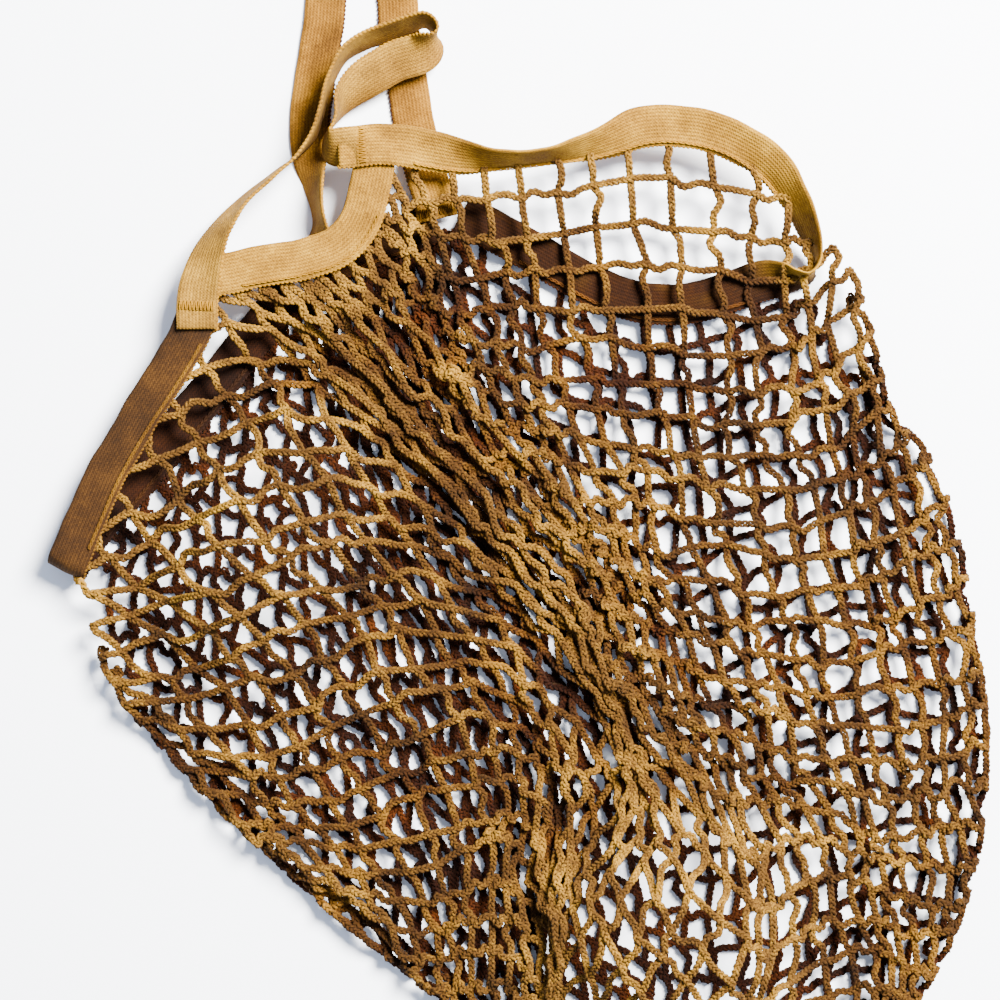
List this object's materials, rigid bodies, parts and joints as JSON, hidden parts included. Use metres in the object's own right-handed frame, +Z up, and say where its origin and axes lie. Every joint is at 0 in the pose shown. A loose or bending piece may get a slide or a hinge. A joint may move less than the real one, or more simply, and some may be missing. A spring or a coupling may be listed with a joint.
{
  "type": "mesh produce bag",
  "caption": "Knitted cotton mesh produce bag with tape-bound mouths and two tape handles, lying flat and a little open.",
  "frame": {"origin": "on the surface that the bag lies on, under the middle of the back panel, at the rest face", "axes": "+X to the right, +Y from the bag towards its handles, +Z up off the surface"},
  "size_m": [0.3158, 0.4092, 0.0387],
  "materials": {
    "cotton_net": "undyed to ochre knitted cotton cord, matt",
    "cotton_tape": "ochre woven cotton tape, matt",
    "sewing_thread": "cotton sewing thread, matt"
  },
  "bodies": {
    "bag": {"net_front_panel": "cotton_net", "net_back_panel": "cotton_net", "left_mouth_band": "cotton_tape", "right_mouth_band": "cotton_tape", "front_gather_tape": "cotton_tape", "back_gather_tape": "cotton_tape", "front_handle_left_root": "cotton_tape", "front_handle_right_root": "cotton_tape", "back_handle_left_root": "cotton_tape", "back_handle_right_root": "cotton_tape", "front_left_bar_tack": "sewing_thread", "front_right_bar_tack": "sewing_thread", "back_left_bar_tack": "sewing_thread", "back_right_bar_tack": "sewing_thread", "left_band_front_seam": "sewing_thread", "left_band_back_seam": "sewing_thread", "right_band_front_seam": "sewing_thread", "right_band_back_seam": "sewing_thread", "front_gather_seam": "sewing_thread", "back_gather_seam": "sewing_thread"},
    "front_handle": {"front_handle_loop": "cotton_tape"},
    "back_handle": {"back_handle_loop": "cotton_tape"}
  },
  "joints": [
    {"name": "front_handle_lift", "type": "hinge", "parent": "bag", "child": "front_handle", "pos_m": [-0.057, 0.13, 0.0168], "axis": [1, 0, 0], "range_deg": [0, 90]},
    {"name": "back_handle_lift", "type": "hinge", "parent": "bag", "child": "back_handle", "pos_m": [-0.047, 0.172, 0.0018], "axis": [1, 0, 0], "range_deg": [0, 90]}
  ]
}
